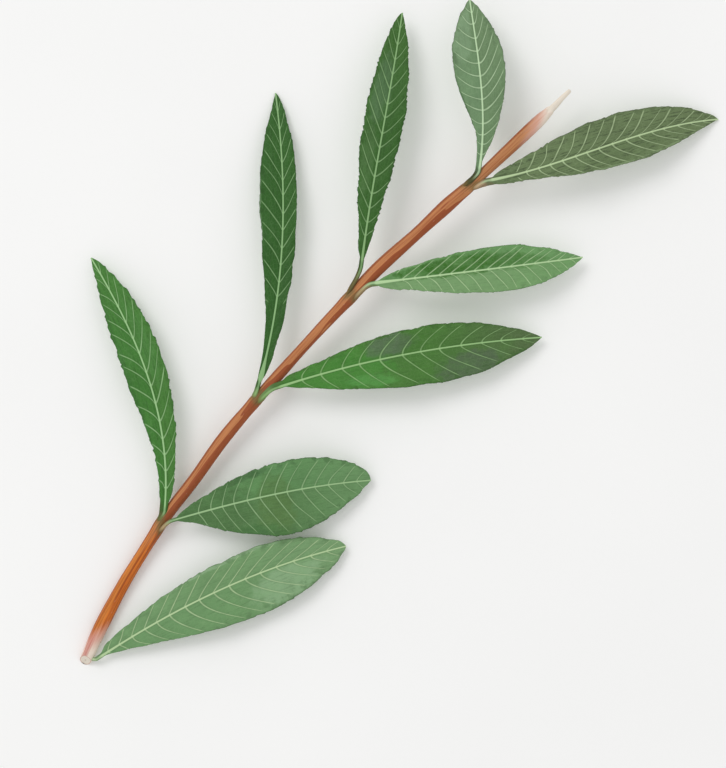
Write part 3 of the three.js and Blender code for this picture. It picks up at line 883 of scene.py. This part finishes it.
def midrib(leaf, u):
    """A midrib's points: along the chord at share u, bowed sideways by a skewed parabola, and arched in
    height by another."""
    base, tip = np.array(leaf["base"]), np.array(leaf["tip"])
    size = np.linalg.norm(tip - base)
    chord = (tip - base) / size
    hump = 4 * u * (1 - u)
    bow = leaf["bow"] * hump * (1 + leaf["skew"] * (2 * u - 1))
    flat = base + chord * (size * u)[..., None] + np.array([chord[1], -chord[0]]) * bow[..., None]
    height = mix(*leaf["heights"], u) + leaf["arch"] * hump
    return np.concatenate([flat, height[..., None]], -1)


def midrib_ahead(leaf, u):
    """A midrib's direction: the difference of two points close before and behind."""
    return unit(midrib(leaf, u + NEARBY) - midrib(leaf, u - NEARBY))


def half_width(outline, u):
    """A half blade's width: a quarter of a sine up to the widest place, then a quarter of a cosine down to
    the tip, each raised to its own power, and the width at the stalk, which fades over the first part."""
    widest, place, stalk_power, tip_power, foot = outline
    rise = np.sin(math.pi / 2 * np.clip(u / place, 0, 1)) ** stalk_power
    fall = np.cos(math.pi / 2 * np.clip((u - place) / (1 - place), 0, 1)) ** tip_power
    return widest * np.where(u < place, rise, fall) * (u < 1) + foot * (1 - smooth(u / FOOT_REACH))


def rib_radius(u, settings):
    """Half the midrib's width, which thins with the root of the distance from the stalk."""
    return mix(settings.stalk / MM, RIB_END, np.sqrt(np.clip(u, 0, 1)))


def teeth(distance, tooth, rng):
    """A saw's edge against the distance along the margin: each tooth rises slowly and falls fast towards
    the tip, and its height is drawn for each one."""
    pitch, height = tooth
    turn = distance / pitch + 0.25 * np.sin(distance * 1.9 / pitch + rng.uniform(0, 6)) + 2
    number = np.floor(turn).astype(int)
    heights = rng.uniform(0, 1, TEETH_DRAWN) ** 1.2
    saw = turn - number
    shape = np.where(saw < 0.8, (saw / 0.8) ** 1.3, (1 - saw) / 0.2)
    return height * (shape - 0.5) * heights[np.clip(number, 0, TEETH_DRAWN - 1)]


def lowest(leaf):
    """The share of the midrib, below 0, at which the blade begins on the stalk."""
    return -leaf["down"] / math.dist(leaf["base"], leaf["tip"])


def vein_rows(leaf, rng):
    """The rows' phase, a whole number at each side vein, and their share of the midrib, below 0 where the
    blade runs down the stalk. The phase is even steps minus a sine that gathers them at the veins, and
    the veins' spacing is drawn."""
    count = leaf["veins"]
    even = np.linspace(lowest(leaf) * count, count, PER_VEIN * count + 1)
    phase = even - GATHER * np.sin(2 * math.pi * even) / (2 * math.pi)
    drawn = np.concatenate([[0], rng.uniform(-0.1, 0.1, count - 1), [0]])
    shift = np.interp(phase, np.arange(count + 1), drawn)
    s = (phase + shift) / count
    return phase, np.where(s > 0, np.abs(s) ** leaf["crowd"], s)


def leaf_half(leaf, half, s, phase, settings, rng):
    """One half of the blade: rows that leave the midrib at share s and run out along the side veins'
    curve, a power of the way out that sways a little, to the toothed margin. Near the tip the run forward
    eases off. Gives how far along and across its points are, how high those of the top and of the
    underside, and how far out between midrib and margin.

    The height is a fold that flattens outwards, waves that grow outwards, a drawn curl, the swelling
    between the veins, a cosine squared of the phase, and each vein's ridge, a bell curve."""
    size = math.dist(leaf["base"], leaf["tip"])
    side = (-1, 1)[half]
    outline = leaf[("left", "right")[half]]
    near_stalk, near_tip, curve = leaf[("left_vein", "right_vein")[half]]
    slant = mix(near_stalk, near_tip, s) * (1 + VEIN_WANDER * wander(phase, rng, 4, 1.6, 5.0))
    wanted = slant * half_width(outline, s) / size
    most = RUN_LIMIT * (1 - s) + TINY
    run = wanted / (1 + (wanted / most) ** 4) ** 0.25
    edge = s + run
    margin = half_width(outline, edge)
    toothed = smooth((margin - 0.6) / 2.4) * smooth(edge / 0.1)
    margin = margin + MARGIN_WANDER * wander(edge * size, rng, 5, 6.0, 22.0) * toothed

    s, run, edge, margin, toothed, slant = (v[:, None] for v in (s, run, edge, margin, toothed, slant))
    out = BLADE_COLUMNS[None, :]
    sway = ROW_SWAY * wander(phase, rng, 4, 1.4, 5.0)[:, None] * np.sin(math.pi * 1.6 * out)
    u = np.minimum(s + run * out**curve + sway * toothed / size, 1)
    flank = rib_radius(u, settings)
    pitch, height = leaf["tooth"]
    saw = teeth(edge * size, (pitch, height), rng)
    saw = (saw + teeth(edge * size, (pitch * FINE_TOOTH, height * FINE_TOOTH), rng)) * toothed
    across = mix(flank, np.maximum(flank * 1.02, margin), out)
    across = across + saw * np.clip((out - 0.88) / 0.12, 0, 1) ** 2

    near = np.abs((phase[:, None] + 0.5) % 1.0 - 0.5)
    off = near * size / leaf["veins"] / np.hypot(1, slant)
    grown = toothed * (s > leaf["first"])
    ridge = settings.vein_height / MM * np.exp(-((off / RIDGE_WIDTH) ** 2)) * (1 - 0.6 * out) * grown
    between = (0.5 - np.cos(math.pi * near) ** 2) * np.sqrt(np.sin(math.pi * (0.02 + 0.98 * out)).clip(0))
    swell = settings.quilting / MM * between * toothed
    outness = across / outline[0]
    fold = math.tan(math.radians(leaf["fold"])) * across * (1 - 0.35 * outness)
    wave = np.sin(2 * math.pi * leaf["waves"] * u + side) * outness**2 * np.sin(math.pi * u)
    curl = CURL * wander(u * size, rng, 4, 5.0, 14.0) * outness**3 * toothed
    middle = fold + leaf["wave"] * wave + curl + swell
    thick = settings.thickness / MM / 2 * (1 - 0.4 * out**2) * np.sqrt(1 - 0.96 * out**10)
    return u, side * across, middle + thick + ridge, middle - thick - ridge, side * out + 0 * u


def rib_columns(s, settings):
    """The midrib, in the same form as a half: a low dome above and half a circle below."""
    radius = rib_radius(s, settings)[:, None]
    r = RIB_COLUMNS[None, :]
    thick = settings.thickness / MM / 2
    top = thick + RIB_RISE * (1 - r**2) * (0.45 + 0.55 * radius)
    low = -thick - RIB_DROP * radius * np.sqrt(1 - r**2)
    across = radius * r
    return s[:, None] + 0 * across, across, top, low, 0 * across


def blade_columns(leaf, s, phase, settings, rng):
    """Both halves and the midrib between them, put round the leaf: from the left margin over the top to
    the right margin and back along the underside. Gives how far along, across, up and out."""
    left = leaf_half(leaf, 0, s, phase, settings, rng)
    right = leaf_half(leaf, 1, s, phase, settings, rng)
    u, across, top, low, out = (
        np.concatenate([a[:, ::-1], rib, b], 1) for a, rib, b in zip(left, rib_columns(s, settings), right)
    )
    return [
        np.concatenate([over, below[:, -2:0:-1]], 1)
        for over, below in ((u, u), (across, across), (top, low), (out, out))
    ]


def stalk_line(name, t, radius):
    """The stalk's middle line on a twig of this radius: the cubic that starts inside the bark, leaves the
    twig along and away from it, and meets the midrib's first point in its direction."""
    leaf = LEAVES[name]
    axis, ahead = along_twig(np.array([float(leaf["node"])]))
    right, up = section(ahead)
    angle = stalk_angle(name)
    outwards = right[0] * math.cos(angle) + up[0] * math.sin(angle)
    root = axis[0] + outwards * STALK_ROOT * radius
    start = np.array(lowest(leaf))
    head = midrib(leaf, start)
    reach = np.linalg.norm(head - root)
    leaving = (ahead[0] * leaf["clasp"] + outwards * (1 - leaf["clasp"])) * reach
    arriving = midrib_ahead(leaf, start) * reach
    t = t[:, None]
    return (
        root * (2 * t**3 - 3 * t**2 + 1)
        + leaving * (t**3 - 2 * t**2 + t)
        + head * (3 * t**2 - 2 * t**3)
        + arriving * (t**3 - t**2)
    )


def stalk_rings(name, turn, wing, settings, twig_radius):
    """Round rings along the stalk, pointed where it starts inside the bark, flatter on top and with low
    wings towards the blade. Gives their points, how far across they are, and how far before the blade each
    ring is, first as a share of the stalk and then in millimetres from the blade's base."""
    leaf = LEAVES[name]
    t = np.linspace(0, 1, STALK_ROWS, endpoint=False)
    line = stalk_line(name, t, twig_radius)
    tilt = (math.radians(leaf["roll"]) * t)[:, None]
    rightwards, up = section(unit(stalk_line(name, t + NEARBY, twig_radius) - line), tilt)
    girth = mix(leaf["foot"], settings.stalk / MM, smooth(t * 1.4))
    girth = (girth * mix(STALK_POINT, 1, smooth(t / STALK_TAPER) ** 0.7))[:, None]
    wide = (girth + wing * smooth((t - 0.2) / 0.7)[:, None]) * np.cos(turn)
    high = girth * np.sin(turn) * (1 - 0.25 * smooth(t * 2)[:, None] * np.maximum(0, np.sin(turn)) ** 3)
    rings = line[:, None] + rightwards[:, None] * wide[..., None] + up[:, None] * high[..., None]
    length_along = np.linalg.norm(np.diff(line, axis=0), axis=1).sum()
    return rings, wide, t - 1, (t - 1) * length_along - leaf["down"]


def build_leaf(name, settings, twig_radius):
    """A leaf is one closed skin of rings: round ones along the stalk, which turn flat over the blade's
    first part, then rows that follow the side veins to the tip."""
    leaf = LEAVES[name]
    rng = np.random.default_rng(LEAF_SEED + int(leaf["node"] * 10))
    phase, s = vein_rows(leaf, rng)
    u, across, lift, out = blade_columns(leaf, s, phase, settings, rng)
    count = u.shape[1]
    turn = math.pi - np.arange(count) * 2 * math.pi / count
    wing = np.where(np.cos(turn) < 0, leaf["left"][4], leaf["right"][4])
    wing = np.maximum(0, wing - settings.stalk / MM)
    stalk, wide, before, behind = stalk_rings(name, turn, wing, settings, twig_radius)

    tube = rib_radius(u, settings)
    flatness = smooth((s - s[0]) / TURN_FLAT)[:, None]
    across = mix((tube + wing) * np.cos(turn), across, flatness)
    lift = mix(tube * np.sin(turn), lift, flatness)
    rightwards, up = section(midrib_ahead(leaf, u), math.radians(leaf["roll"]))
    blade = midrib(leaf, u) + rightwards * across[..., None] + up * lift[..., None]
    rings = np.concatenate([stalk, blade])
    rings[..., 2] = np.maximum(rings[..., 2], 0.0)

    right_margin = count // 2
    face = np.where(np.arange(count) <= right_margin, 1.0, -1.0)
    face[[0, right_margin]] = 0.0
    blank = np.zeros_like(wide)
    stalkness = 1 - smooth((s - s[0]) / 0.02)[:, None]
    along = u * math.dist(leaf["base"], leaf["tip"])
    attributes = {
        "vein": (
            np.concatenate([blank + before[:, None], np.maximum(phase, 0)[:, None] + 0 * u]),
            np.concatenate([blank, out]),
            np.concatenate([blank + 1, face + 0 * u]),
        ),
        "place": (
            np.concatenate([blank + behind[:, None], along]),
            np.concatenate([wide, across]),
            np.concatenate([blank + 1, stalkness + 0 * u]),
        ),
    }
    make_piece("willow_" + name, rings, attributes, leaf_material(name, settings), name)


def build_stage(settings):
    """A level floor, a large soft lamp up to the left, even light from all round, and a camera that looks
    straight down with a long lens, turned so that the twig runs from lower left to upper right."""
    mesh = bpy.data.meshes.new("floor")
    corners = [(x * FLOOR_REACH, y * FLOOR_REACH, 0) for x, y in ((-1, -1), (1, -1), (1, 1), (-1, 1))]
    mesh.from_pydata(corners, [], [(0, 1, 2, 3)])
    mesh.materials.append(floor_material(settings.floor))
    floor = bpy.data.objects.new("floor", mesh)
    bpy.context.scene.collection.objects.link(floor)

    world = bpy.data.worlds.new("studio")
    world.use_nodes = True
    background = world.node_tree.nodes["Background"]
    background.inputs["Color"].default_value = (1.0, 1.0, 1.0, 1.0)
    background.inputs["Strength"].default_value = settings.sky
    bpy.context.scene.world = world

    lamp = bpy.data.lights.new("softbox", "AREA")
    lamp.shape = "DISK"
    lamp.size = LAMP_SIZE
    lamp.energy = settings.light
    light = bpy.data.objects.new("softbox", lamp)
    light.location = LAMP_PLACE
    light.rotation_euler = (-light.location).to_track_quat("-Z", "Y").to_euler()
    bpy.context.scene.collection.objects.link(light)

    lens = bpy.data.cameras.new("camera")
    lens.sensor_fit = "HORIZONTAL"
    lens.sensor_width = 36.0
    lens.lens = 36.0 * settings.height / settings.width
    lens.clip_start = 0.01
    lens.clip_end = 20.0
    camera = bpy.data.objects.new("camera", lens)
    camera.location = (CAMERA_OVER[0] * MM, CAMERA_OVER[1] * MM, settings.height)
    camera.rotation_euler = (0.0, 0.0, math.radians(CAMERA_TURN))
    bpy.context.scene.collection.objects.link(camera)
    bpy.context.scene.camera = camera
    bpy.context.scene.view_settings.view_transform = "Standard"


class WILLOW_OT_twig(bpy.types.Operator):
    """Make the twig"""

    bl_idname = "willow.twig"
    bl_label = "Make twig"

    def execute(self, context):
        build_twig(context.scene.willow_twig)
        return {"FINISHED"}


class WILLOW_OT_leaves(bpy.types.Operator):
    """Make the nine leaves"""

    bl_idname = "willow.leaves"
    bl_label = "Make leaves"

    def execute(self, context):
        for name in LEAVES:
            build_leaf(name, context.scene.willow_leaf, context.scene.willow_twig.radius / MM)
        return {"FINISHED"}


class WILLOW_OT_stage(bpy.types.Operator):
    """Make the floor, the light and the camera"""

    bl_idname = "willow.stage"
    bl_label = "Make stage"

    def execute(self, context):
        build_stage(context.scene.willow_stage)
        return {"FINISHED"}


class WILLOW_PT_panel(bpy.types.Panel):
    """Sizes and colours of the branch, and the buttons that make it"""

    bl_label = "Willow branch"
    bl_idname = "WILLOW_PT_panel"
    bl_space_type = "VIEW_3D"
    bl_region_type = "UI"
    bl_category = "Willow"

    def draw(self, context):
        groups = (
            ("willow.twig", context.scene.willow_twig),
            ("willow.leaves", context.scene.willow_leaf),
            ("willow.stage", context.scene.willow_stage),
        )
        for button, settings in groups:
            box = self.layout.box()
            for key in settings.__class__.__annotations__:
                box.prop(settings, key)
            box.operator(button)


CLASSES = (
    WillowTwigSettings,
    WillowLeafSettings,
    WillowStageSettings,
    WILLOW_OT_twig,
    WILLOW_OT_leaves,
    WILLOW_OT_stage,
    WILLOW_PT_panel,
)
GROUPS = {
    "willow_twig": WillowTwigSettings,
    "willow_leaf": WillowLeafSettings,
    "willow_stage": WillowStageSettings,
}


def register():
    for cls in CLASSES:
        bpy.utils.register_class(cls)
    for key, group in GROUPS.items():
        setattr(bpy.types.Scene, key, bpy.props.PointerProperty(type=group))


def unregister():
    for key in GROUPS:
        delattr(bpy.types.Scene, key)
    for cls in reversed(CLASSES):
        bpy.utils.unregister_class(cls)


def main():
    """Makes the whole branch and its stage."""
    register()
    bpy.ops.willow.twig()
    bpy.ops.willow.leaves()
    bpy.ops.willow.stage()


if __name__ == "__main__":
    main()
